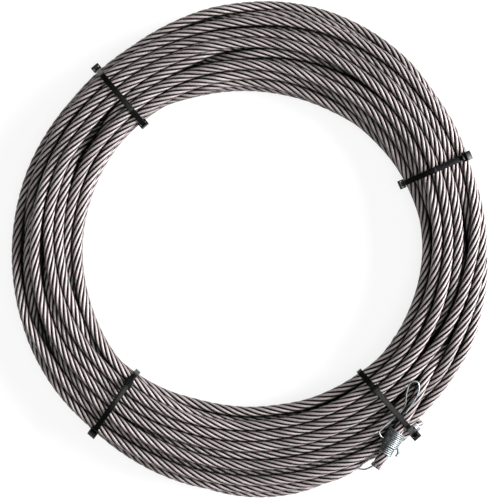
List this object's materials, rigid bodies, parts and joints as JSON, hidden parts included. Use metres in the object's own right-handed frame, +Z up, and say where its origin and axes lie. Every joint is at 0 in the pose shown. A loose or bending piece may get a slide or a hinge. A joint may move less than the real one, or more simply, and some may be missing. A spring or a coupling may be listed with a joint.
{
  "type": "coil of wire rope",
  "caption": "Flat-laid coil of stranded steel wire rope held by chained cable ties, with both rope ends seized with soft wire.",
  "frame": {"origin": "on the floor plane, under the middle of the coil", "axes": "+Z up, along the coil's own axis; +Y towards the top of the picture, +X towards its right"},
  "size_m": [0.4106, 0.428, 0.0535],
  "materials": {
    "rope_steel": "bright uncoated steel wire with a thin dull film of lay grease",
    "tie_nylon": "moulded black nylon, satin",
    "zinc_wire": "bright galvanised soft steel wire"
  },
  "bodies": {
    "root": {"wire_rope": "rope_steel", "cable_tie_right_outer": "tie_nylon", "cable_tie_right_inner": "tie_nylon", "cable_tie_top_left_outer": "tie_nylon", "cable_tie_top_left_inner": "tie_nylon", "cable_tie_lower_left_outer": "tie_nylon", "cable_tie_lower_left_inner": "tie_nylon", "cable_tie_lower_right_outer": "tie_nylon", "cable_tie_lower_right_inner": "tie_nylon", "seizing_wire_long": "zinc_wire", "seizing_wire_short": "zinc_wire"}
  },
  "joints": []
}
